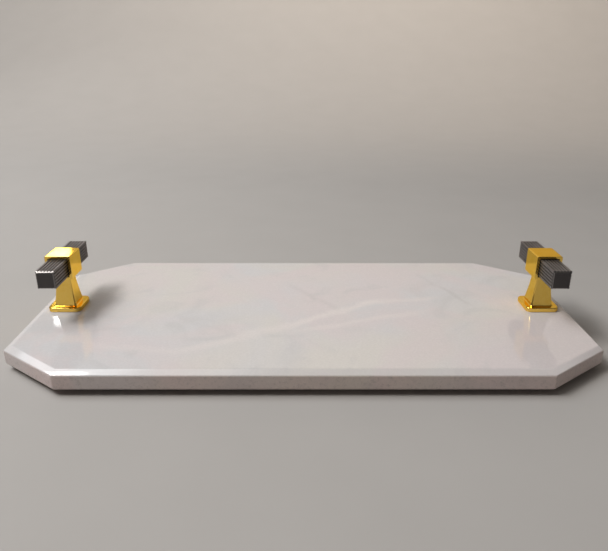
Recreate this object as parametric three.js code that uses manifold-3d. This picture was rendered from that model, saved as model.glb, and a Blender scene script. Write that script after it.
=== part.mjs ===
// Dresser vanity tray: a marble slab on four rubber bumpers, with a T-bar handle at each short end.
// Millimetres, +Z up, +X along the tray. The origin is on the table, under the middle of the slab.

import * as THREE from "three";
import { mergeVertices } from "three/addons/utils/BufferGeometryUtils.js";
import Module from "manifold-3d";

const wasm = await Module();
wasm.setup();

// Driving dimensions: slab
const SLAB_LENGTH = 305;
const SLAB_DEPTH = 152;
const SLAB_THICKNESS = 10;
const CUT_CORNER_ALONG_X = 33.5;
const CUT_CORNER_ALONG_Y = 25;
const TOP_BEVEL_WIDTH = 3.5;
const TOP_BEVEL_DROP = 2;
const ARRIS_ROUNDING = 0.5;
const BOTTOM_BEVEL = 1;

// Driving dimensions: rubber bumpers
const BUMPER_HEIGHT = 3;
const BUMPER_RADIUS = 6;
const BUMPER_FROM_MID_X = 112;
const BUMPER_FROM_MID_Y = 54;
const BUMPER_TREAD_RADIUS = 4.5;
const BUMPER_TOE_RADIUS = 5.3;
const BUMPER_TOE_HEIGHT = 0.4;
const BUMPER_SIDE_RADIUS = 5.8;
const BUMPER_SIDE_HEIGHT = 1.2;

// Driving dimensions: handle post, measured up from the slab's top face
const HANDLE_FROM_MID_X = 136.5;
const FOOT_WIDTH = 18.4;
const FOOT_CORNER_RADIUS = 3;
const FOOT_THICKNESS = 2.6;
const FOOT_RIM_ROUNDING = 0.6;
const NECK_TOP_HALF_WIDTH = 4.1;
const NECK_FLARE = 2.1;
const NECK_FLARE_POWER = 1.4;
const NECK_CORNER_RADIUS = 1.2;
const COLLAR_WIDTH = 14.2;
const COLLAR_DEPTH = 15.4;
const COLLAR_BOTTOM = 19.6;
const COLLAR_TOP = 33.1;
const COLLAR_EDGE_BEVEL = 0.6;

// Driving dimensions: fluted bar
const BAR_WIDTH = 10.1;
const BAR_LENGTH = 52.5;
const BAR_CENTRE_HEIGHT = 26.35;
const BAR_END_CHAMFER = 0.8;
const RIDGES_PER_FACE = 6;
const GROOVE_WIDTH = 0.8;
const GROOVE_DEPTH = 0.5;

// Driving dimensions: fixings
const FIT_GAP = 0.3;
const SCREW_RADIUS = 2;
const SCREW_LENGTH = 16;
const SCREW_HEAD_RADIUS = 4;
const SCREW_HEAD_HEIGHT = 2.6;
const SCREW_HEAD_FLAT_RADIUS = 2.9;
const SCREW_HEAD_DOME_RADIUS = 3.7;
const SCREW_HEAD_DOME_HEIGHT = 0.8;
const SCREW_HEAD_WALL_HEIGHT = 1.7;
const THREAD_LEAD = 0.5;
const SLAB_HOLE_RADIUS = 2.75;
const COUNTERBORE_RADIUS = 5.5;
const COUNTERBORE_DEPTH = 4;
const WASHER_RADIUS = 4.6;
const WASHER_THICKNESS = 0.8;
const WASHER_CLEARANCE = 0.1;
const GRUB_LENGTH = 6;
const DRIVE_RECESS_DEPTH = 1.4;
const DRIVE_RECESS_WIDTH = 0.9;
const DRIVE_RECESS_LENGTH = 3.6;
const HEX_SOCKET_RADIUS = 1.1;
const HEX_SOCKET_DEPTH = 2;

// Derived heights
const SLAB_BOTTOM = BUMPER_HEIGHT;
const SLAB_TOP = SLAB_BOTTOM + SLAB_THICKNESS;
const BAR_CENTRE_Z = SLAB_TOP + BAR_CENTRE_HEIGHT;
const WINDOW_HALF_WIDTH = BAR_WIDTH / 2 + FIT_GAP;
const BORE_RADIUS = SCREW_RADIUS + FIT_GAP;
const COUNTERBORE_CEILING = SLAB_BOTTOM + COUNTERBORE_DEPTH;
const WASHER_TOP = COUNTERBORE_CEILING - WASHER_CLEARANCE;
const SCREW_SHOULDER = WASHER_TOP - WASHER_THICKNESS - WASHER_CLEARANCE;
const GRUB_TOP = BAR_CENTRE_Z - BAR_WIDTH / 2 - FIT_GAP;

// Facet counts, and how far a cutter runs past what it cuts
const ROUND_SEGMENTS = 32;
const CORNER_SEGMENTS = 4;
const NECK_STEPS = 12;
const MERGE_TOLERANCE = 1e-4;
const CUTTER_OVERSHOOT = 5;

// Materials, one factory each so that every mesh owns its own
const finish = (color, roughness, metalness) => (
  () => new THREE.MeshStandardMaterial({ color, roughness, metalness })
);
const marble = finish(0xd6d2cf, 0.16, 0);
const polishedGold = finish(0xd9a63c, 0.14, 1);
const gunmetal = finish(0x5b5656, 0.38, 0.9);
const zincPlate = finish(0xb9bcc0, 0.32, 1);
const blackOxide = finish(0x2a2a2c, 0.5, 0.8);
const rubber = finish(0x1d1d1f, 0.85, 0);

// Closed solids for cutting and joining
function toSolid(geometry) {
  const bare = geometry.clone();
  bare.deleteAttribute("normal");
  bare.deleteAttribute("uv");
  const merged = mergeVertices(bare, MERGE_TOLERANCE);
  const vertProperties = Float32Array.from(merged.attributes.position.array);
  const triVerts = Uint32Array.from(merged.index.array);
  return new wasm.Manifold(new wasm.Mesh({ numProp: 3, vertProperties, triVerts }));
}

function toGeometry(solid) {
  const mesh = solid.getMesh();
  const geometry = new THREE.BufferGeometry();
  geometry.setAttribute("position", new THREE.BufferAttribute(mesh.vertProperties, 3));
  geometry.setIndex(new THREE.BufferAttribute(mesh.triVerts, 1));
  const facets = geometry.toNonIndexed();
  facets.computeVertexNormals();
  return facets;
}

function cut(geometry, ...cutters) {
  const start = toSolid(geometry);
  return toGeometry(cutters.reduce((solid, cutter) => solid.subtract(toSolid(cutter)), start));
}

// A skin over rings of equal length, listed upwards, each counter-clockwise seen from above and convex
function loftRings(rings) {
  const perRing = rings[0].length;
  const positions = rings.flat().flatMap((point) => [point.x, point.y, point.z]);
  const faces = [];
  for (let ring = 0; ring + 1 < rings.length; ring += 1) {
    for (let i = 0; i < perRing; i += 1) {
      const a = ring * perRing + i;
      const b = ring * perRing + ((i + 1) % perRing);
      faces.push(a, b, b + perRing, a, b + perRing, a + perRing);
    }
  }
  const last = (rings.length - 1) * perRing;
  for (let i = 1; i + 1 < perRing; i += 1) {
    faces.push(0, i + 1, i);
    faces.push(last, last + i, last + i + 1);
  }
  const geometry = new THREE.BufferGeometry();
  geometry.setAttribute("position", new THREE.Float32BufferAttribute(positions, 3));
  geometry.setIndex(faces);
  return geometry;
}

// A round solid about the Z axis, from [radius, height] points listed upwards
function turned(profile) {
  const points = profile.map(([radius, height]) => new THREE.Vector2(radius, height));
  const geometry = new THREE.LatheGeometry(points, ROUND_SEGMENTS);
  geometry.rotateX(Math.PI / 2);
  return geometry;
}

function plug(radius, bottom, top) {
  return turned([[0, bottom], [radius, bottom], [radius, top], [0, top]]);
}

// An octagon: the slab's outline moved in by an inset, at a height
function slabRing(inset, z) {
  const halfX = SLAB_LENGTH / 2 - inset;
  const halfY = SLAB_DEPTH / 2 - inset;
  const cutLength = Math.hypot(CUT_CORNER_ALONG_X, CUT_CORNER_ALONG_Y);
  const shrink = inset * (CUT_CORNER_ALONG_X + CUT_CORNER_ALONG_Y - cutLength);
  const cutX = CUT_CORNER_ALONG_X - shrink / CUT_CORNER_ALONG_Y;
  const cutY = CUT_CORNER_ALONG_Y - shrink / CUT_CORNER_ALONG_X;
  const corner = (x, y) => new THREE.Vector3(x, y, z);
  return [
    corner(halfX, -halfY + cutY),
    corner(halfX, halfY - cutY),
    corner(halfX - cutX, halfY),
    corner(-halfX + cutX, halfY),
    corner(-halfX, halfY - cutY),
    corner(-halfX, -halfY + cutY),
    corner(-halfX + cutX, -halfY),
    corner(halfX - cutX, -halfY),
  ];
}

function slabGeometry() {
  const arris = SLAB_TOP - TOP_BEVEL_DROP;
  const bevelSlope = TOP_BEVEL_DROP / TOP_BEVEL_WIDTH;
  const blank = loftRings([
    slabRing(BOTTOM_BEVEL, SLAB_BOTTOM),
    slabRing(0, SLAB_BOTTOM + BOTTOM_BEVEL),
    slabRing(0, arris - ARRIS_ROUNDING),
    slabRing(ARRIS_ROUNDING, arris + ARRIS_ROUNDING * bevelSlope),
    slabRing(TOP_BEVEL_WIDTH, SLAB_TOP),
  ]);
  const cutters = [-1, 1].flatMap((side) => [
    plug(SLAB_HOLE_RADIUS, SLAB_BOTTOM - CUTTER_OVERSHOOT, SLAB_TOP + CUTTER_OVERSHOOT)
      .translate(side * HANDLE_FROM_MID_X, 0, 0),
    plug(COUNTERBORE_RADIUS, SLAB_BOTTOM - CUTTER_OVERSHOOT, COUNTERBORE_CEILING)
      .translate(side * HANDLE_FROM_MID_X, 0, 0),
  ]);
  return cut(blank, ...cutters);
}

// A rectangle with rounded corners, at a height
function roundedRing(halfX, halfY, radius, z) {
  const ring = [];
  for (let corner = 0; corner < 4; corner += 1) {
    const signX = corner === 0 || corner === 3 ? 1 : -1;
    const signY = corner < 2 ? 1 : -1;
    for (let step = 0; step <= CORNER_SEGMENTS; step += 1) {
      const angle = (corner + step / CORNER_SEGMENTS) * (Math.PI / 2);
      ring.push(new THREE.Vector3(
        signX * (halfX - radius) + radius * Math.cos(angle),
        signY * (halfY - radius) + radius * Math.sin(angle),
        z,
      ));
    }
  }
  return ring;
}

// The neck's half-width, for a rise of 0 at the foot to 1 at the collar: a slightly hollow taper
function neckHalfWidth(rise) {
  return NECK_TOP_HALF_WIDTH + NECK_FLARE * (1 - rise) ** NECK_FLARE_POWER;
}

function postGeometry() {
  const half = FOOT_WIDTH / 2;
  const foot = loftRings([
    roundedRing(half, half, FOOT_CORNER_RADIUS, SLAB_TOP),
    roundedRing(half, half, FOOT_CORNER_RADIUS, SLAB_TOP + FOOT_THICKNESS - FOOT_RIM_ROUNDING),
    roundedRing(
      half - FOOT_RIM_ROUNDING,
      half - FOOT_RIM_ROUNDING,
      FOOT_CORNER_RADIUS - FOOT_RIM_ROUNDING,
      SLAB_TOP + FOOT_THICKNESS,
    ),
  ]);

  // The neck runs a little way into the foot and the collar, so that the three join as one casting
  const buried = COLLAR_EDGE_BEVEL;
  const neckRing = (rise, height) => roundedRing(
    neckHalfWidth(rise),
    neckHalfWidth(rise),
    NECK_CORNER_RADIUS,
    SLAB_TOP + height,
  );
  const neckRings = [neckRing(0, buried)];
  for (let step = 0; step <= NECK_STEPS; step += 1) {
    const rise = step / NECK_STEPS;
    const height = FOOT_THICKNESS + (COLLAR_BOTTOM - FOOT_THICKNESS) * rise;
    neckRings.push(neckRing(rise, height));
  }
  neckRings.push(neckRing(1, COLLAR_BOTTOM + buried));
  const neck = loftRings(neckRings);

  const collarRing = (inset, height) => roundedRing(
    COLLAR_WIDTH / 2 - inset,
    COLLAR_DEPTH / 2 - inset,
    COLLAR_EDGE_BEVEL,
    SLAB_TOP + height,
  );
  const endInset = COLLAR_EDGE_BEVEL / 2;
  const collar = loftRings([
    collarRing(endInset, COLLAR_BOTTOM),
    collarRing(0, COLLAR_BOTTOM + COLLAR_EDGE_BEVEL),
    collarRing(0, COLLAR_TOP - COLLAR_EDGE_BEVEL),
    collarRing(endInset, COLLAR_TOP),
  ]);

  const window = new THREE.BoxGeometry(
    WINDOW_HALF_WIDTH * 2,
    COLLAR_DEPTH + CUTTER_OVERSHOOT,
    WINDOW_HALF_WIDTH * 2,
  ).translate(0, 0, BAR_CENTRE_Z);
  const bore = plug(BORE_RADIUS, SLAB_TOP - CUTTER_OVERSHOOT, BAR_CENTRE_Z);
  const casting = toSolid(foot).add(toSolid(neck)).add(toSolid(collar));
  return toGeometry(casting.subtract(toSolid(window)).subtract(toSolid(bore)));
}

// One face of the bar's section, from its first corner: flat ridges with a tapered groove between neighbours
function flutedFace() {
  const half = BAR_WIDTH / 2;
  const pitch = BAR_WIDTH / RIDGES_PER_FACE;
  const mouth = GROOVE_WIDTH / 2;
  const floor = mouth / 3;
  const points = [new THREE.Vector2(-half, -half)];
  for (let groove = 1; groove < RIDGES_PER_FACE; groove += 1) {
    const middle = pitch * groove - half;
    points.push(new THREE.Vector2(middle - mouth, -half));
    points.push(new THREE.Vector2(middle - floor, -half + GROOVE_DEPTH));
    points.push(new THREE.Vector2(middle + floor, -half + GROOVE_DEPTH));
    points.push(new THREE.Vector2(middle + mouth, -half));
  }
  return points;
}

function barGeometry() {
  const quarterTurn = Math.PI / 2;
  const middle = new THREE.Vector2();
  const outline = [];
  for (let face = 0; face < 4; face += 1) {
    outline.push(...flutedFace().map((point) => point.rotateAround(middle, face * quarterTurn)));
  }
  const section = new THREE.Shape(outline);
  const fluted = new THREE.ExtrudeGeometry(section, { depth: BAR_LENGTH, bevelEnabled: false });
  fluted.translate(0, 0, -BAR_LENGTH / 2);

  const halfLength = BAR_LENGTH / 2;
  const endHalf = BAR_WIDTH / 2 - BAR_END_CHAMFER;
  const wideHalf = BAR_WIDTH / 2 + FIT_GAP;
  const wideAt = halfLength - BAR_END_CHAMFER - FIT_GAP;
  const square = (half, z) => [[1, -1], [1, 1], [-1, 1], [-1, -1]]
    .map(([x, y]) => new THREE.Vector3(x * half, y * half, z));
  const chamferedBlock = loftRings([
    square(endHalf, -halfLength),
    square(wideHalf, -wideAt),
    square(wideHalf, wideAt),
    square(endHalf, halfLength),
  ]);
  const bar = toGeometry(toSolid(fluted).intersect(toSolid(chamferedBlock)));
  bar.rotateX(quarterTurn);
  return bar.translate(0, 0, BAR_CENTRE_Z);
}

// A pan-head machine screw, head down in the counterbore
function machineScrewGeometry() {
  const headBottom = SCREW_SHOULDER - SCREW_HEAD_HEIGHT;
  const tip = SCREW_SHOULDER + SCREW_LENGTH;
  const blank = turned([
    [0, headBottom],
    [SCREW_HEAD_FLAT_RADIUS, headBottom],
    [SCREW_HEAD_DOME_RADIUS, headBottom + SCREW_HEAD_DOME_HEIGHT],
    [SCREW_HEAD_RADIUS, headBottom + SCREW_HEAD_WALL_HEIGHT],
    [SCREW_HEAD_RADIUS, SCREW_SHOULDER],
    [SCREW_RADIUS, SCREW_SHOULDER],
    [SCREW_RADIUS, tip - THREAD_LEAD],
    [SCREW_RADIUS - THREAD_LEAD, tip],
    [0, tip],
  ]);
  const blade = (quarters) => new THREE.BoxGeometry(
    DRIVE_RECESS_LENGTH,
    DRIVE_RECESS_WIDTH,
    DRIVE_RECESS_DEPTH * 2,
  ).rotateZ((quarters * Math.PI) / 2).translate(0, 0, headBottom);
  return cut(blank, blade(0), blade(1));
}

// A headless set screw with a hexagon socket in its lower end
function grubScrewGeometry() {
  const bottom = GRUB_TOP - GRUB_LENGTH;
  const blank = turned([
    [0, bottom],
    [SCREW_RADIUS - THREAD_LEAD, bottom],
    [SCREW_RADIUS, bottom + THREAD_LEAD],
    [SCREW_RADIUS, GRUB_TOP - THREAD_LEAD],
    [SCREW_RADIUS - THREAD_LEAD, GRUB_TOP],
    [0, GRUB_TOP],
  ]);
  const cutterLength = HEX_SOCKET_DEPTH * 2;
  const socket = new THREE.CylinderGeometry(HEX_SOCKET_RADIUS, HEX_SOCKET_RADIUS, cutterLength, 6);
  socket.rotateX(Math.PI / 2);
  socket.translate(0, 0, bottom);
  return cut(blank, socket);
}

function washerGeometry() {
  const bottom = WASHER_TOP - WASHER_THICKNESS;
  const hole = SCREW_RADIUS + FIT_GAP;
  return turned([
    [hole, bottom],
    [WASHER_RADIUS, bottom],
    [WASHER_RADIUS, WASHER_TOP],
    [hole, WASHER_TOP],
    [hole, bottom],
  ]);
}

// A stick-on bumper: a low frustum with a rounded bottom edge
function bumperGeometry() {
  return turned([
    [0, 0],
    [BUMPER_TREAD_RADIUS, 0],
    [BUMPER_TOE_RADIUS, BUMPER_TOE_HEIGHT],
    [BUMPER_SIDE_RADIUS, BUMPER_SIDE_HEIGHT],
    [BUMPER_RADIUS, BUMPER_HEIGHT],
    [0, BUMPER_HEIGHT],
  ]);
}

// Assembly
const tray = new THREE.Group();

function addPiece(name, geometry, material, x = 0, y = 0) {
  const mesh = new THREE.Mesh(geometry, material);
  mesh.name = name;
  mesh.position.set(x, y, 0);
  tray.add(mesh);
}

addPiece("marble_slab", slabGeometry(), marble());
for (const [side, direction] of [["left", -1], ["right", 1]]) {
  const x = direction * HANDLE_FROM_MID_X;
  addPiece(`${side}_handle_post`, postGeometry(), polishedGold(), x);
  addPiece(`${side}_fluted_bar`, barGeometry(), gunmetal(), x);
  addPiece(`${side}_bar_grub_screw`, grubScrewGeometry(), blackOxide(), x);
  addPiece(`${side}_machine_screw`, machineScrewGeometry(), zincPlate(), x);
  addPiece(`${side}_screw_washer`, washerGeometry(), zincPlate(), x);
  for (const [end, sign] of [["front", -1], ["back", 1]]) {
    const bumperX = direction * BUMPER_FROM_MID_X;
    addPiece(`${side}_${end}_bumper`, bumperGeometry(), rubber(), bumperX, sign * BUMPER_FROM_MID_Y);
  }
}

export default tray;
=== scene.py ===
"""A dresser vanity tray: a cut-cornered marble slab with a T-bar handle at each short end.

Each handle is a gold post holding a gunmetal bar. Metres, +Z up, +X along the tray, with the floor at zero.
"""

import math

import bmesh
import bpy
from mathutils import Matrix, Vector


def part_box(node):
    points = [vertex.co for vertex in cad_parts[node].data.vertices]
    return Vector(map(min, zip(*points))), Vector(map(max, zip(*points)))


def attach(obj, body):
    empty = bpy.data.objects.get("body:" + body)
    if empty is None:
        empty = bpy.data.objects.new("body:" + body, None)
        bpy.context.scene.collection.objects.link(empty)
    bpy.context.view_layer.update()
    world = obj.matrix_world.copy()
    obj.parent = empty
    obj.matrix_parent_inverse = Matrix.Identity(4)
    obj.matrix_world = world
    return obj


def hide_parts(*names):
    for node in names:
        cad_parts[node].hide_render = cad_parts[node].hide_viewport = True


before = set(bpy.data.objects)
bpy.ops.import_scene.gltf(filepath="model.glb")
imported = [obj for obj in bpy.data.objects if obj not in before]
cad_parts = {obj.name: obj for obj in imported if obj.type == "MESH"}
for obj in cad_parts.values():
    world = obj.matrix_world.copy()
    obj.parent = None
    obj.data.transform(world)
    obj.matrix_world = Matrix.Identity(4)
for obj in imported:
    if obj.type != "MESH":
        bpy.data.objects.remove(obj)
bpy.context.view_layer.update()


# --- Floor ---
# A pale paper sweep: a flat sheet that curves up into a wall well behind the tray.
# It is matt, with the faint mottle of uncoated paper, and is only the stage.


def clear_selection():
    """Nothing is left selected or active before a new piece is started."""
    bpy.ops.object.select_all(action="DESELECT")


def pick_faces(piece, wanted):
    """In edit mode, selects only the faces whose middle and normal wanted() accepts."""
    bpy.ops.mesh.select_mode(type="FACE")
    bpy.ops.mesh.select_all(action="DESELECT")
    shell = bmesh.from_edit_mesh(piece.data)
    for face in shell.faces:
        face.select_set(wanted(face.calc_center_median(), face.normal))
    bmesh.update_edit_mesh(piece.data)


def pick_edges(piece, wanted):
    """In edit mode, selects only the edges whose two ends wanted() accepts."""
    bpy.ops.mesh.select_mode(type="EDGE")
    bpy.ops.mesh.select_all(action="DESELECT")
    shell = bmesh.from_edit_mesh(piece.data)
    for edge in shell.edges:
        edge.select_set(wanted(edge.verts[0].co, edge.verts[1].co))
    bmesh.update_edit_mesh(piece.data)


def settle(piece):
    """Puts a finished piece's place into its mesh, and leaves its object at the origin."""
    clear_selection()
    piece.select_set(True)
    bpy.context.view_layer.objects.active = piece
    bpy.ops.object.transform_apply(location=True, rotation=True, scale=True)


class Finish:
    """A node material that is built up one node at a time."""

    def __init__(self, name):
        self.material = bpy.data.materials.new(name)
        self.material.use_nodes = True
        self.tree = self.material.node_tree
        self.shader = self.tree.nodes["Principled BSDF"]
        self.place = self.node("ShaderNodeTexCoord").outputs["Object"]

    def node(self, kind, **settings):
        made = self.tree.nodes.new(kind)
        for name, value in settings.items():
            setattr(made, name, value)
        return made

    def join(self, source, target):
        self.tree.links.new(source, target)

    def placed(self, location=(0, 0, 0), rotation=(0, 0, 0), scale=(1, 1, 1), source=None):
        """The place on the piece, moved, turned and scaled as a texture is."""
        mapping = self.node("ShaderNodeMapping", vector_type="TEXTURE")
        mapping.inputs["Location"].default_value = location
        mapping.inputs["Rotation"].default_value = rotation
        mapping.inputs["Scale"].default_value = scale
        self.join(source or self.place, mapping.inputs["Vector"])
        return mapping.outputs["Vector"]

    def noise(self, size, detail=3.0, roughness=0.5, distortion=0.0, source=None):
        """Soft noise whose blotches are about size metres across."""
        made = self.node("ShaderNodeTexNoise")
        made.inputs["Scale"].default_value = 1 / size
        made.inputs["Detail"].default_value = detail
        made.inputs["Roughness"].default_value = roughness
        made.inputs["Distortion"].default_value = distortion
        self.join(source or self.place, made.inputs["Vector"])
        return made.outputs["Fac"]

    def remap(self, source, low, high, to_low=0.0, to_high=1.0, smooth=True):
        made = self.node("ShaderNodeMapRange")
        made.interpolation_type = "SMOOTHSTEP" if smooth else "LINEAR"
        made.inputs["From Min"].default_value = low
        made.inputs["From Max"].default_value = high
        made.inputs["To Min"].default_value = to_low
        made.inputs["To Max"].default_value = to_high
        self.join(source, made.inputs["Value"])
        return made.outputs["Result"]

    def math(self, operation, first, second=None):
        made = self.node("ShaderNodeMath", operation=operation)
        for socket, value in zip(made.inputs, (first, second)):
            if isinstance(value, (int, float)):
                socket.default_value = value
            elif value is not None:
                self.join(value, socket)
        return made.outputs["Value"]

    def mix(self, factor, first, second, blend="MIX"):
        """One colour over another. Each is a socket or an (r, g, b)."""
        made = self.node("ShaderNodeMix", data_type="RGBA", blend_type=blend)
        if isinstance(factor, (int, float)):
            made.inputs["Factor"].default_value = factor
        else:
            self.join(factor, made.inputs["Factor"])
        for socket, value in ((made.inputs[6], first), (made.inputs[7], second)):
            if isinstance(value, tuple):
                socket.default_value = (*value, 1)
            else:
                self.join(value, socket)
        return made.outputs[2]

    def bump(self, height, depth, strength=1.0, under=None):
        made = self.node("ShaderNodeBump")
        made.inputs["Distance"].default_value = depth
        made.inputs["Strength"].default_value = strength
        self.join(height, made.inputs["Height"])
        if under is not None:
            self.join(under, made.inputs["Normal"])
        return made.outputs["Normal"]

    def give(self, **sockets):
        """Sets or links the shader's own sockets, by their names with _ for a space."""
        for name, value in sockets.items():
            socket = self.shader.inputs[name.replace("_", " ")]
            if isinstance(value, bpy.types.NodeSocket):
                self.join(value, socket)
            elif isinstance(value, tuple):
                socket.default_value = (*value, 1)
            else:
                socket.default_value = value
        return self.material


SWEEP_HALF_WIDTH = 3.0
SWEEP_FRONT = -1.6
SWEEP_BACK = 1.6
SWEEP_WALL_HEIGHT = 2.2
SWEEP_CURVE = 0.9
SWEEP_CURVE_SEGMENTS = 24
PICK_TOLERANCE = 0.01

clear_selection()
bpy.ops.mesh.primitive_plane_add(size=2)
floor = bpy.context.object
floor.name = "paper_sweep"
bpy.ops.object.mode_set(mode="EDIT")
bpy.ops.transform.resize(value=(SWEEP_HALF_WIDTH, (SWEEP_BACK - SWEEP_FRONT) / 2, 1))
bpy.ops.transform.translate(value=(0, (SWEEP_BACK + SWEEP_FRONT) / 2, 0))
pick_edges(floor, lambda a, b: min(a.y, b.y) > SWEEP_BACK - PICK_TOLERANCE)
bpy.ops.mesh.extrude_region_move(TRANSFORM_OT_translate={"value": (0, 0, SWEEP_WALL_HEIGHT)})
pick_edges(
    floor,
    lambda a, b: min(a.y, b.y) > SWEEP_BACK - PICK_TOLERANCE and max(a.z, b.z) < PICK_TOLERANCE,
)
bpy.ops.mesh.bevel(offset=SWEEP_CURVE, segments=SWEEP_CURVE_SEGMENTS, affect="EDGES")
bpy.ops.object.mode_set(mode="OBJECT")
bpy.ops.object.shade_smooth()

paper = Finish("pale_paper")
mottle = paper.noise(0.05, detail=4)
paper_tone = paper.mix(mottle, (0.43, 0.415, 0.40), (0.46, 0.445, 0.43))
floor.data.materials.append(paper.give(Base_Color=paper_tone, Roughness=0.85))


# --- Marble slab ---
# A 10 mm slab of white marble, sawn to a rectangle with its four corners cut off.
# The top edge has a wide hand-finished bevel; the top is polished, the sides only honed.
# Two counterbored holes come up from below for the handle screws.

slab_low, slab_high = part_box("marble_slab")
SLAB_HALF_LENGTH = slab_high.x
SLAB_HALF_DEPTH = slab_high.y
CUT_CORNER_ALONG_X = 0.0335
CUT_CORNER_ALONG_Y = 0.025
BEVEL_WIDTH = 0.0035
BEVEL_DROP = 0.002
LEFT_BEVEL_EXTRA = 0.001
RIGHT_BEVEL_EXTRA = -0.0013
ARRIS_SOFTENING = 0.0006
BOTTOM_ARRIS = 0.001
SCREW_HOLE_RADIUS = 0.00275
COUNTERBORE_RADIUS = 0.0055
COUNTERBORE_DEPTH = 0.004
bevel_foot = slab_high.z - BEVEL_DROP


def finish_edges(piece, width, angle, segments):
    """Rounds every edge sharper than an angle, in degrees."""
    soften = piece.modifiers.new("soften", "BEVEL")
    soften.width = width
    soften.segments = segments
    soften.limit_method = "ANGLE"
    soften.angle_limit = math.radians(angle)
    bpy.ops.object.modifier_apply(modifier=soften.name)


def carve(piece, other, operation):
    """Takes the other shape out of the piece, or joins it on, and removes the other."""
    clear_selection()
    piece.select_set(True)
    bpy.context.view_layer.objects.active = piece
    carved = piece.modifiers.new("carved", "BOOLEAN")
    carved.operation = operation
    carved.object = other
    bpy.ops.object.modifier_apply(modifier=carved.name)
    bpy.data.objects.remove(other)


clear_selection()
bpy.ops.mesh.primitive_cube_add(size=2)
slab = bpy.context.object
slab.name = "polished_slab"
bpy.ops.object.mode_set(mode="EDIT")
bpy.ops.transform.resize(value=(SLAB_HALF_LENGTH, SLAB_HALF_DEPTH, (bevel_foot - slab_low.z) / 2))
bpy.ops.transform.translate(value=(0, 0, (bevel_foot + slab_low.z) / 2))
for side in (-1, 1):
    for end in (-1, 1):
        bpy.ops.mesh.select_all(action="SELECT")
        bpy.ops.mesh.bisect(
            plane_co=(side * SLAB_HALF_LENGTH, end * (SLAB_HALF_DEPTH - CUT_CORNER_ALONG_Y), 0),
            plane_no=(side * CUT_CORNER_ALONG_Y, end * CUT_CORNER_ALONG_X, 0),
            use_fill=True,
            clear_outer=True,
        )
pick_faces(slab, lambda middle, normal: normal.z > 0.9)
bpy.ops.mesh.inset(thickness=BEVEL_WIDTH, depth=BEVEL_DROP)
pick_faces(slab, lambda middle, normal: normal.z < -0.9)
bpy.ops.mesh.bevel(offset=BOTTOM_ARRIS, segments=1, affect="EDGES")

# The bevel was ground by hand: it is wider at the left end than at the right
for side, extra in ((-1, LEFT_BEVEL_EXTRA), (1, RIGHT_BEVEL_EXTRA)):
    pick_edges(
        slab,
        lambda a, b: min(a.z, b.z) > bevel_foot + BEVEL_DROP / 2
        and min(a.x * side, b.x * side) > SLAB_HALF_LENGTH - 2 * BEVEL_WIDTH,
    )
    bpy.ops.transform.translate(value=(-side * extra, 0, 0))
bpy.ops.object.mode_set(mode="OBJECT")

finish_edges(slab, ARRIS_SOFTENING, 20, 3)

for side in ("left", "right"):
    post_low, post_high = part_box(f"{side}_handle_post")
    clear_selection()
    bpy.ops.mesh.primitive_cylinder_add(vertices=64, radius=COUNTERBORE_RADIUS, depth=2 * COUNTERBORE_DEPTH)
    drill = bpy.context.object
    bpy.ops.object.mode_set(mode="EDIT")
    pick_faces(drill, lambda middle, normal: normal.z > 0.9)
    bpy.ops.mesh.inset(thickness=COUNTERBORE_RADIUS - SCREW_HOLE_RADIUS)
    bpy.ops.mesh.extrude_region_move(TRANSFORM_OT_translate={"value": (0, 0, slab_high.z)})
    bpy.ops.object.mode_set(mode="OBJECT")
    drill.location = ((post_low.x + post_high.x) / 2, 0, slab_low.z)
    carve(slab, drill, "DIFFERENCE")


def shade(piece, angle):
    """Smooth shading up to an angle, with each large face kept truly flat."""
    clear_selection()
    piece.select_set(True)
    bpy.context.view_layer.objects.active = piece
    bpy.ops.object.shade_smooth_by_angle(angle=math.radians(angle))
    flat = piece.modifiers.new("flat_faces", "WEIGHTED_NORMAL")
    flat.keep_sharp = True
    flat.weight = 100
    bpy.ops.object.modifier_apply(modifier=flat.name)


shade(slab, 35)

marble = Finish("polished_marble")

# Clouds: broad warm and cool drifts, and smaller grey ones
warm_cloud = marble.remap(marble.noise(0.085, detail=2, distortion=0.6), 0.38, 0.62)
pink_cloud = marble.remap(
    marble.noise(0.06, detail=3, distortion=0.9, source=marble.placed(location=(0.3, 0.1, 0))), 0.42, 0.66
)
grey_cloud = marble.remap(
    marble.noise(0.03, detail=4, distortion=1.1, source=marble.placed(location=(0.7, 0.4, 0))), 0.5, 0.72
)
stone = marble.mix(warm_cloud, (0.65, 0.645, 0.66), (0.68, 0.655, 0.625))
stone = marble.mix(marble.math("MULTIPLY", pink_cloud, 0.8), stone, (0.695, 0.63, 0.635))
stone = marble.mix(marble.math("MULTIPLY", grey_cloud, 0.45), stone, (0.565, 0.56, 0.565))


VEIN_DRIFT_SIZE = 0.02
VEIN_FULL_SHARE = 0.55


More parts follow.
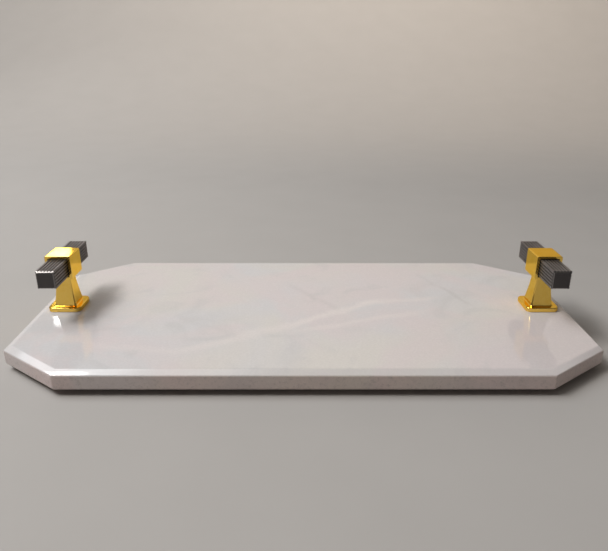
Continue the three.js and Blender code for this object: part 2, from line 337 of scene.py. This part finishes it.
def vein(start, end, half_width, strength, wander):
    """How much a vein wandering from start to end covers each point: 0 to 1."""
    across = Vector(end) - Vector(start)
    middle = (Vector(end) + Vector(start)) / 2
    pushed = marble.node("ShaderNodeVectorMath", operation="MULTIPLY_ADD")
    drift = marble.node("ShaderNodeTexNoise")
    drift.inputs["Scale"].default_value = 1 / VEIN_DRIFT_SIZE
    drift.inputs["Detail"].default_value = 3
    marble.join(marble.place, drift.inputs["Vector"])
    marble.join(drift.outputs["Color"], pushed.inputs[0])
    pushed.inputs[1].default_value = (wander, wander, 0)
    marble.join(marble.place, pushed.inputs[2])
    offset = wander / 2
    local = marble.placed(
        location=(middle.x + offset, middle.y + offset, 0),
        rotation=(0, 0, math.atan2(across.y, across.x)),
        source=pushed.outputs["Vector"],
    )
    split = marble.node("ShaderNodeSeparateXYZ")
    marble.join(local, split.inputs["Vector"])
    half_length = across.length / 2
    along = marble.remap(
        marble.math("ABSOLUTE", split.outputs["X"]), half_length * VEIN_FULL_SHARE, half_length, 1, 0
    )
    beside = marble.remap(marble.math("ABSOLUTE", split.outputs["Y"]), 0, half_width, 1, 0)
    return marble.math("MULTIPLY", marble.math("MULTIPLY", along, beside), strength)


# A pale vein in three overlapping lengths, a branch beside it, a fainter one at the left,
# and three short grey hairlines
PALE_WANDER = 0.009
GREY_WANDER = 0.006
PALE_VEINS = (
    ((-0.072, -0.060), (0.006, -0.018), 0.0065, 0.50),
    ((-0.014, -0.029), (0.054, 0.013), 0.0050, 0.72),
    ((0.028, 0.002), (0.086, 0.013), 0.0045, 0.50),
    ((-0.014, -0.037), (0.078, -0.005), 0.0042, 0.45),
    ((-0.114, -0.048), (-0.056, -0.057), 0.0055, 0.28),
)
GREY_VEINS = (
    ((0.074, 0.056), (0.084, 0.028), 0.0030, 0.09),
    ((0.083, 0.034), (0.099, -0.002), 0.0026, 0.20),
    ((-0.012, 0.038), (0.023, -0.010), 0.0036, 0.12),
)
for start, end, half_width, strength in PALE_VEINS:
    stone = marble.mix(vein(start, end, half_width, strength, PALE_WANDER), stone, (0.765, 0.715, 0.70))
for start, end, half_width, strength in GREY_VEINS:
    stone = marble.mix(vein(start, end, half_width, strength, GREY_WANDER), stone, (0.42, 0.40, 0.40))

# Crystal grain: tiny grains, some lighter and some darker, all through the stone
GRAIN_SIZE = 0.0011
grains = marble.node("ShaderNodeTexVoronoi")
grains.inputs["Scale"].default_value = 1 / GRAIN_SIZE
marble.join(marble.place, grains.inputs["Vector"])
grain_tone = marble.remap(grains.outputs["Distance"], 0.0, 0.9, 0.965, 1.03, smooth=False)
grain_colour = marble.node("ShaderNodeCombineColor")
for channel in ("Red", "Green", "Blue"):
    marble.join(grain_tone, grain_colour.inputs[channel])
stone = marble.mix(1.0, stone, grain_colour.outputs["Color"], "MULTIPLY")

# The honed sides are rougher and a little warmer than the polished top, with grey speckles
facing = marble.node("ShaderNodeSeparateXYZ")
marble.join(marble.node("ShaderNodeTexCoord").outputs["Normal"], facing.inputs["Vector"])
honed = marble.remap(facing.outputs["Z"], 0.3, 0.8, 1, 0)
side_speckle = marble.remap(marble.noise(0.0016, detail=4, roughness=0.7), 0.5, 0.68)
stone = marble.mix(
    marble.math("MULTIPLY", honed, marble.math("MULTIPLY", side_speckle, 0.5)), stone, (0.46, 0.45, 0.45)
)
stone = marble.mix(honed, stone, (0.96, 0.87, 0.83), "MULTIPLY")

# Painted light: the top bevel, picked by how its faces tilt, is painted a touch paler than the polished top
# so it reads as bright as the top
bevel_painted_light = marble.math(
    "MULTIPLY",
    marble.remap(facing.outputs["Z"], 0.78, 0.84),
    marble.remap(facing.outputs["Z"], 0.92, 0.97, 1, 0),
)
stone = marble.mix(marble.math("MULTIPLY", bevel_painted_light, 0.35), stone, (0.80, 0.775, 0.77))
polish = marble.remap(marble.noise(0.012, detail=4), 0.35, 0.7, 0.025, 0.06)
sheen = marble.math("ADD", polish, marble.math("MULTIPLY", honed, 0.30))
waves = marble.bump(marble.noise(0.016, detail=2), 0.00004, 0.4)
pits = marble.bump(marble.math("MULTIPLY", side_speckle, honed), 0.00012, 0.6, under=waves)
marble.give(Base_Color=stone, Roughness=sheen, Normal=pits, IOR=1.54)

slab.data.materials.clear()
slab.data.materials.append(marble.material)
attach(slab, "root")
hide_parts("marble_slab")


# --- Handle posts ---
# Each post is one brass casting, polished and gold plated: a square foot with a rounded rim,
# a square neck that tapers up from it, and a collar with a square window that the bar passes through.

FOOT_THICKNESS = 0.0026
FOOT_CORNER = 0.003
FOOT_RIM = 0.0006
NECK_CORNER_INSET = 0.0018
NECK_BASE_HALF = 0.0062
NECK_TOP_HALF = 0.0041
NECK_RINGS = 10
NECK_FLARE_POWER = 1.4
COLLAR_HALF_WIDTH = 0.0071
COLLAR_HALF_DEPTH = 0.0077
COLLAR_BOTTOM = 0.0196
COLLAR_LONG_BEVEL = 0.0007
CRISP_EDGE = 0.00022
JOIN_OVERLAP = 0.0005
BAR_CLEARANCE = 0.0003
GRUB_BORE_RADIUS = 0.0023
BORE_OVERRUN = 0.002

post_low, post_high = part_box("left_handle_post")
bar_low, bar_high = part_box("left_fluted_bar")
post_x = (post_low.x + post_high.x) / 2
slab_top = post_low.z
foot_half = (post_high.x - post_low.x) / 2
bar_half = (bar_high.x - bar_low.x) / 2
bar_z = (bar_high.z + bar_low.z) / 2
foot_top = slab_top + FOOT_THICKNESS
collar_bottom = slab_top + COLLAR_BOTTOM


def block(half_x, half_y, low_z, high_z):
    """A block about the upright line through the origin, left in edit mode."""
    clear_selection()
    bpy.ops.mesh.primitive_cube_add(size=2)
    bpy.ops.object.mode_set(mode="EDIT")
    bpy.ops.transform.resize(value=(half_x, half_y, (high_z - low_z) / 2))
    bpy.ops.transform.translate(value=(0, 0, (high_z + low_z) / 2))
    return bpy.context.object


# Foot and neck, drawn up ring by ring
left_post = block(foot_half, foot_half, slab_top, foot_top)
left_post.name = "left_post"
pick_edges(left_post, lambda a, b: abs(a.z - b.z) > FOOT_THICKNESS / 2)
bpy.ops.mesh.bevel(offset=FOOT_CORNER, segments=8, affect="EDGES")
pick_faces(left_post, lambda middle, normal: normal.z > 0.9)
bpy.ops.mesh.inset(thickness=NECK_CORNER_INSET)
half = foot_half - NECK_CORNER_INSET
height = foot_top
for ring in range(NECK_RINGS + 1):
    rise = ring / NECK_RINGS
    next_half = NECK_TOP_HALF + (NECK_BASE_HALF - NECK_TOP_HALF) * (1 - rise) ** NECK_FLARE_POWER
    next_height = foot_top + (collar_bottom - foot_top) * rise
    if ring > 0:
        bpy.ops.mesh.extrude_region_move(TRANSFORM_OT_translate={"value": (0, 0, next_height - height)})
    squeeze = next_half / half
    bpy.ops.transform.resize(value=(squeeze, squeeze, 1), center_override=(0, 0, next_height))
    half = next_half
    height = next_height
bpy.ops.mesh.extrude_region_move(TRANSFORM_OT_translate={"value": (0, 0, JOIN_OVERLAP)})
bpy.ops.object.mode_set(mode="OBJECT")
finish_edges(left_post, FOOT_RIM, 40, 4)

# Collar, with wide bevels along its length and crisp edges round its ends
collar = block(COLLAR_HALF_WIDTH, COLLAR_HALF_DEPTH, collar_bottom, post_high.z)
pick_edges(collar, lambda a, b: abs(a.y - b.y) > COLLAR_HALF_DEPTH)
bpy.ops.mesh.bevel(offset=COLLAR_LONG_BEVEL, segments=3, affect="EDGES")
bpy.ops.object.mode_set(mode="OBJECT")
window_half = bar_half + BAR_CLEARANCE
window = block(window_half, 2 * COLLAR_HALF_DEPTH, bar_z - window_half, bar_z + window_half)
bpy.ops.object.mode_set(mode="OBJECT")
carve(collar, window, "DIFFERENCE")
finish_edges(collar, CRISP_EDGE, 50, 3)
carve(left_post, collar, "UNION")

clear_selection()
bpy.ops.mesh.primitive_cylinder_add(
    vertices=48, radius=GRUB_BORE_RADIUS, depth=bar_z - slab_top + BORE_OVERRUN
)
drill = bpy.context.object
drill.location = (0, 0, (bar_z + slab_top) / 2 - BORE_OVERRUN / 2)
carve(left_post, drill, "DIFFERENCE")
left_post.location = (post_x, 0, 0)
settle(left_post)
shade(left_post, 38)

gold = Finish("polished_gold")
tarnish = gold.remap(gold.noise(0.006, detail=5, roughness=0.6), 0.45, 0.75)
gold_tone = gold.mix(tarnish, (0.98, 0.66, 0.15), (0.93, 0.59, 0.10))
rub_marks = gold.noise(0.0007, detail=5, source=gold.placed(scale=(1, 1, 0.25)))
gold_gloss = gold.remap(rub_marks, 0.3, 0.75, 0.04, 0.12)
dimples = gold.bump(gold.noise(0.004, detail=2), 0.00005, 0.2)
scuffs = gold.bump(rub_marks, 0.000006, 0.5, under=dimples)
left_post.data.materials.clear()
left_post.data.materials.append(
    gold.give(
        Base_Color=gold_tone,
        Metallic=1.0,
        Roughness=gold_gloss,
        Normal=scuffs,
        Specular_Tint=(1.0, 0.80, 0.40),
    )
)


def right_copy(piece, name):
    """A separate copy of a left-hand piece, with its own mesh, at the right-hand handle."""
    clear_selection()
    piece.select_set(True)
    bpy.context.view_layer.objects.active = piece
    bpy.ops.object.duplicate(linked=False)
    copy = bpy.context.object
    copy.name = name
    copy.location = (-2 * post_x, 0, 0)
    settle(copy)
    return copy


right_post = right_copy(left_post, "right_post")
for side, post in (("left", left_post), ("right", right_post)):
    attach(post, "root")
    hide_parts(f"{side}_handle_post")


# --- Fluted bars ---
# Each bar is a square steel rod with six ridges planed along each of its four faces,
# chamfered at both ends and plated a satin gunmetal. It runs through the collar, clamped from below.

RIDGES_PER_FACE = 6
GROOVE_HALF_MOUTH = 0.0004
GROOVE_HALF_FLOOR = 0.00015
GROOVE_DEPTH = 0.0005
RIDGE_SOFTENING = 0.00012
CORNER_ROUNDING = 0.00035
END_CHAMFER = 0.0008
CUTTER_SPARE = 0.0003
CORNER_PICK = 0.0001
EDGE_BLUR = 0.00004
GROOVE_FADE_START = 0.0007
GROOVE_FADE_END = 0.0004
bar_half_length = (bar_high.y - bar_low.y) / 2
pitch = 2 * bar_half / RIDGES_PER_FACE
groove_middles = [pitch * groove - bar_half for groove in range(1, RIDGES_PER_FACE)]

clear_selection()
bpy.ops.mesh.primitive_plane_add(size=2)
left_bar = bpy.context.object
left_bar.name = "left_bar"
bpy.ops.object.mode_set(mode="EDIT")
bpy.ops.transform.resize(value=(bar_half, bar_half_length + END_CHAMFER, 1))
bpy.ops.transform.translate(value=(0, 0, bar_half))
for middle in groove_middles:
    for edge in (-GROOVE_HALF_MOUTH, -GROOVE_HALF_FLOOR, GROOVE_HALF_FLOOR, GROOVE_HALF_MOUTH):
        bpy.ops.mesh.select_all(action="SELECT")
        bpy.ops.mesh.bisect(plane_co=(middle + edge, 0, 0), plane_no=(1, 0, 0))
pick_faces(
    left_bar,
    lambda centre, normal: min(abs(centre.x - middle) for middle in groove_middles) < GROOVE_HALF_FLOOR / 2,
)
bpy.ops.transform.translate(value=(0, 0, -GROOVE_DEPTH))
bpy.ops.mesh.select_all(action="SELECT")
for quarter in range(3):
    bpy.ops.mesh.duplicate()
    bpy.ops.transform.rotate(value=math.pi / 2, orient_axis="Y", center_override=(0, 0, 0))
bpy.ops.mesh.select_all(action="SELECT")
bpy.ops.mesh.remove_doubles(threshold=1e-6)
bpy.ops.mesh.normals_make_consistent(inside=False)
pick_edges(
    left_bar,
    lambda a, b: abs(a.y - b.y) > bar_half_length
    and min(abs(a.x), abs(a.z), abs(b.x), abs(b.z)) > bar_half - CORNER_PICK,
)
bpy.ops.mesh.bevel(offset=CORNER_ROUNDING, segments=3, affect="EDGES")
bpy.ops.object.mode_set(mode="OBJECT")

finish_edges(left_bar, RIDGE_SOFTENING, 25, 2)

bpy.ops.object.mode_set(mode="EDIT")
for end in (-1, 1):
    pick_edges(left_bar, lambda a, b: min(a.y * end, b.y * end) > bar_half_length + END_CHAMFER / 2)
    bpy.ops.mesh.edge_face_add()
bpy.ops.mesh.select_all(action="SELECT")
bpy.ops.mesh.normals_make_consistent(inside=False)
bpy.ops.object.mode_set(mode="OBJECT")

# The end chamfers are cut as a saw cuts them, straight across ridges and grooves
clear_selection()
bpy.ops.mesh.primitive_cube_add(size=2)
chamfered_block = bpy.context.object
bpy.ops.object.mode_set(mode="EDIT")
bpy.ops.transform.resize(value=(bar_half + CUTTER_SPARE, bar_half_length, bar_half + CUTTER_SPARE))
pick_faces(chamfered_block, lambda middle, normal: abs(normal.y) > 0.9)
bpy.ops.mesh.bevel(offset=END_CHAMFER + CUTTER_SPARE, segments=1, affect="EDGES")
bpy.ops.object.mode_set(mode="OBJECT")
carve(left_bar, chamfered_block, "INTERSECT")
left_bar.location = (post_x, 0, bar_z)
settle(left_bar)
shade(left_bar, 32)

gunmetal = Finish("satin_gunmetal")
draw_lines = gunmetal.noise(0.0005, detail=5, roughness=0.6, source=gunmetal.placed(scale=(1, 25, 1)))
plating = gunmetal.noise(0.009, detail=4)
gunmetal_tone = gunmetal.mix(
    gunmetal.remap(plating, 0.35, 0.7), (0.205, 0.192, 0.187), (0.28, 0.262, 0.255)
)
# Painted shade in the grooves: they are painted nearly black, by how far a point is sunk below the bar's
# faces
section = gunmetal.node("ShaderNodeSeparateXYZ")
gunmetal.join(gunmetal.place, section.inputs["Vector"])
from_middle = gunmetal.math("SUBTRACT", gunmetal.math("ABSOLUTE", section.outputs["X"]), -post_x)
from_centre = gunmetal.math("SUBTRACT", section.outputs["Z"], bar_z)
reach = gunmetal.math(
    "MAXIMUM", gunmetal.math("ABSOLUTE", from_middle), gunmetal.math("ABSOLUTE", from_centre)
)
sunk = gunmetal.remap(reach, bar_half - GROOVE_DEPTH, bar_half - 2 * EDGE_BLUR, 1, 0)
on_side = gunmetal.remap(
    gunmetal.math("ABSOLUTE", section.outputs["Y"]),
    bar_half_length - GROOVE_FADE_START,
    bar_half_length - GROOVE_FADE_END,
    1,
    0,
)
# Painted shade: the grooves are painted dark, fading out near the bar's ends
groove_painted_shade = gunmetal.math("MULTIPLY", sunk, on_side)
gunmetal_tone = gunmetal.mix(groove_painted_shade, gunmetal_tone, (0.045, 0.042, 0.042))
gunmetal_gloss = gunmetal.remap(draw_lines, 0.3, 0.75, 0.28, 0.46)

# The end chamfers are smoother than the planed faces. Painted shade: the chamfers are painted darker than
# the faces to dim the glint they catch, and the end faces are painted darker again
along = gunmetal.math("ABSOLUTE", section.outputs["Y"])
chamfer_start = bar_half_length - END_CHAMFER
chamfered = gunmetal.math(
    "MULTIPLY",
    gunmetal.remap(along, chamfer_start - EDGE_BLUR, chamfer_start + EDGE_BLUR),
    gunmetal.remap(along, bar_half_length - 2 * EDGE_BLUR, bar_half_length - EDGE_BLUR / 2, 1, 0),
)
# Painted shade: the chamfers are painted darker than the planed faces
gunmetal_tone = gunmetal.mix(chamfered, gunmetal_tone, (0.165, 0.158, 0.155))
# Painted shade: the end faces are painted darker still
end_face_painted_shade = gunmetal.remap(along, bar_half_length - EDGE_BLUR, bar_half_length - EDGE_BLUR / 4)
gunmetal_tone = gunmetal.mix(end_face_painted_shade, gunmetal_tone, (0.085, 0.079, 0.080))
gunmetal_gloss = gunmetal.math("SUBTRACT", gunmetal_gloss, gunmetal.math("MULTIPLY", chamfered, 0.14))
brushed = gunmetal.bump(draw_lines, 0.00002, 0.5)
left_bar.data.materials.clear()
left_bar.data.materials.append(
    gunmetal.give(
        Base_Color=gunmetal_tone,
        Metallic=0.85,
        Roughness=gunmetal_gloss,
        Normal=brushed,
        Specular_Tint=(0.6, 0.58, 0.58),
    )
)
right_bar = right_copy(left_bar, "right_bar")
for side, bar in (("left", left_bar), ("right", right_bar)):
    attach(bar, "root")
    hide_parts(f"{side}_fluted_bar")


# --- Rubber bumpers ---
# Four self-adhesive feet under the slab: moulded black rubber discs with a rounded toe.
# A shallow dished centre lets each one grip like a cup.

BUMPER_TOE = 0.0011
DISH_INSET = 0.0018
DISH_DEPTH = 0.0004

rubber = Finish("black_rubber")
bloom = rubber.remap(rubber.noise(0.0035, detail=4), 0.35, 0.75)
rubber_tone = rubber.mix(bloom, (0.012, 0.012, 0.013), (0.030, 0.030, 0.032))
rubber_grain = rubber.bump(rubber.noise(0.0004, detail=3), 0.00002, 0.5)
rubber.give(Base_Color=rubber_tone, Roughness=rubber.remap(bloom, 0, 1, 0.62, 0.8), Normal=rubber_grain)

for side in ("left", "right"):
    for end in ("front", "back"):
        low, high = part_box(f"{side}_{end}_bumper")
        middle = (low + high) / 2
        bumper_radius = (high.x - low.x) / 2
        clear_selection()
        bpy.ops.mesh.primitive_cylinder_add(
            vertices=64, radius=bumper_radius, depth=high.z - low.z, location=middle
        )
        bumper = bpy.context.object
        bumper.name = f"{side}_{end}_rubber_foot"
        bpy.ops.object.mode_set(mode="EDIT")
        pick_faces(bumper, lambda centre, normal: normal.z < -0.9)
        bpy.ops.mesh.bevel(offset=BUMPER_TOE, segments=6, affect="EDGES")
        pick_faces(bumper, lambda centre, normal: normal.z < -0.999)
        bpy.ops.mesh.inset(thickness=DISH_INSET)
        bpy.ops.mesh.inset(thickness=DISH_DEPTH, depth=-DISH_DEPTH)
        bpy.ops.object.mode_set(mode="OBJECT")
        settle(bumper)
        shade(bumper, 40)
        bumper.data.materials.append(rubber.material)
        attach(bumper, "root")
        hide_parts(f"{side}_{end}_bumper")


# --- Screws and washers ---
# A zinc-plated pan-head screw and a pressed washer hold each post down from under the slab.
# Above it, a blackened grub screw in the neck pins the bar. All are stock parts, kept as built.

zinc = Finish("zinc_plate")
spangle = zinc.node("ShaderNodeTexVoronoi")
spangle.inputs["Scale"].default_value = 1 / 0.0008
zinc.join(zinc.place, spangle.inputs["Vector"])
zinc_tone = zinc.mix(
    zinc.remap(spangle.outputs["Distance"], 0, 0.8), (0.62, 0.64, 0.66), (0.50, 0.51, 0.53)
)
zinc_turning = zinc.noise(0.0004, detail=3)
zinc.give(
    Base_Color=zinc_tone,
    Metallic=1.0,
    Roughness=zinc.remap(zinc_turning, 0.3, 0.7, 0.24, 0.42),
    Normal=zinc.bump(zinc_turning, 0.00001, 0.5),
)

oxide = Finish("black_oxide")
oil_film = oxide.noise(0.0015, detail=4)
oxide.give(
    Base_Color=oxide.mix(oil_film, (0.018, 0.018, 0.02), (0.045, 0.043, 0.045)),
    Metallic=0.8,
    Roughness=oxide.remap(oil_film, 0.3, 0.7, 0.38, 0.58),
)

for side in ("left", "right"):
    for part, plated in (("machine_screw", zinc), ("screw_washer", zinc), ("bar_grub_screw", oxide)):
        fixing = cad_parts[f"{side}_{part}"]
        fixing.data.materials.clear()
        fixing.data.materials.append(plated.material)


# --- Light and camera ---
# A narrow strip light behind left, a large cool light high at the left, a small one above the
# left front, one overhead and one that only washes the wall, with dim room light.
# The camera is close in front of the tray, 16 cm above the floor, and looks down at it.


def soft_light(name, place, aim, width, height, watts, colour, full_within=0.3):
    """A diffused light at a place, facing its aim. It is at full strength only near its middle."""
    lamp = bpy.data.lights.new(name, "AREA")
    lamp.shape = "RECTANGLE"
    lamp.size = width
    lamp.size_y = height
    lamp.energy = watts
    lamp.color = colour
    lamp.use_nodes = True
    nodes, links = lamp.node_tree.nodes, lamp.node_tree.links
    across = nodes.new("ShaderNodeNewGeometry")
    centred = nodes.new("ShaderNodeVectorMath")
    centred.operation = "SUBTRACT"
    centred.inputs[1].default_value = (0.5, 0.5, 0)
    links.new(across.outputs["Parametric"], centred.inputs[0])
    split = nodes.new("ShaderNodeSeparateXYZ")
    links.new(centred.outputs["Vector"], split.inputs["Vector"])
    fade = nodes.new("ShaderNodeMath")
    fade.operation = "MULTIPLY"
    for slot, axis in enumerate(("X", "Y")):
        distance = nodes.new("ShaderNodeMath")
        distance.operation = "ABSOLUTE"
        links.new(split.outputs[axis], distance.inputs[0])
        falloff = nodes.new("ShaderNodeMapRange")
        falloff.interpolation_type = "SMOOTHSTEP"
        falloff.inputs["From Min"].default_value = 0.5
        falloff.inputs["From Max"].default_value = full_within
        links.new(distance.outputs["Value"], falloff.inputs["Value"])
        links.new(falloff.outputs["Result"], fade.inputs[slot])
    links.new(fade.outputs["Value"], nodes["Emission"].inputs["Strength"])
    holder = bpy.data.objects.new(name, lamp)
    bpy.context.scene.collection.objects.link(holder)
    holder.location = place
    holder.rotation_euler = (Vector(aim) - Vector(place)).to_track_quat("-Z", "Y").to_euler()


soft_light(
    "strip_light",
    place=(-0.578, 1.03, 0.45),
    aim=(-0.136, 0, 0.045),
    width=0.066,
    height=0.14,
    watts=0.27,
    colour=(1.0, 0.985, 0.97),
    full_within=0.44,
)
soft_light(
    "left_light",
    place=(-1.05, 0.2, 1.5),
    aim=(0, 0, 0.02),
    width=1.4,
    height=1.2,
    watts=18,
    colour=(0.91, 0.955, 1.0),
)
soft_light(
    "ceiling_light",
    place=(-0.83, -0.28, 1.24),
    aim=(-0.83, 0.1, 0),
    width=0.36,
    height=0.62,
    watts=12,
    colour=(1.0, 0.96, 0.92),
    full_within=0.42,
)
soft_light(
    "overhead_light",
    place=(-0.62, 0.05, 1.4),
    aim=(-0.1, 0, 0),
    width=1.4,
    height=1.2,
    watts=8.7,
    colour=(1.0, 0.96, 0.92),
)
soft_light(
    "wall_light",
    place=(0.3, 0.75, 1.15),
    aim=(0.45, 1.6, 0.85),
    width=1.6,
    height=0.5,
    watts=20,
    colour=(1.0, 0.87, 0.74),
)

world = bpy.data.worlds.new("dim_room")
world.use_nodes = True
world.node_tree.nodes["Background"].inputs["Color"].default_value = (0.95, 0.87, 0.79, 1)
world.node_tree.nodes["Background"].inputs["Strength"].default_value = 0.14
bpy.context.scene.world = world
bpy.context.scene.view_settings.view_transform = "Standard"

CAMERA_PLACE = (-0.000985, -0.323, 0.1581)
CAMERA_DOWN = 21.33
CAMERA_TURN = 0.1937
CAMERA_ROLL = 0.0900
LENS = 35.82

camera_data = bpy.data.cameras.new("camera")
camera_data.sensor_width = 36
camera_data.lens = LENS
camera_data.clip_start = 0.01
camera = bpy.data.objects.new("camera", camera_data)
bpy.context.scene.collection.objects.link(camera)
camera.location = CAMERA_PLACE
camera.rotation_euler = (math.radians(90 - CAMERA_DOWN), 0, math.radians(-CAMERA_TURN))
camera.rotation_euler.rotate_axis("Z", math.radians(CAMERA_ROLL))
bpy.context.scene.camera = camera
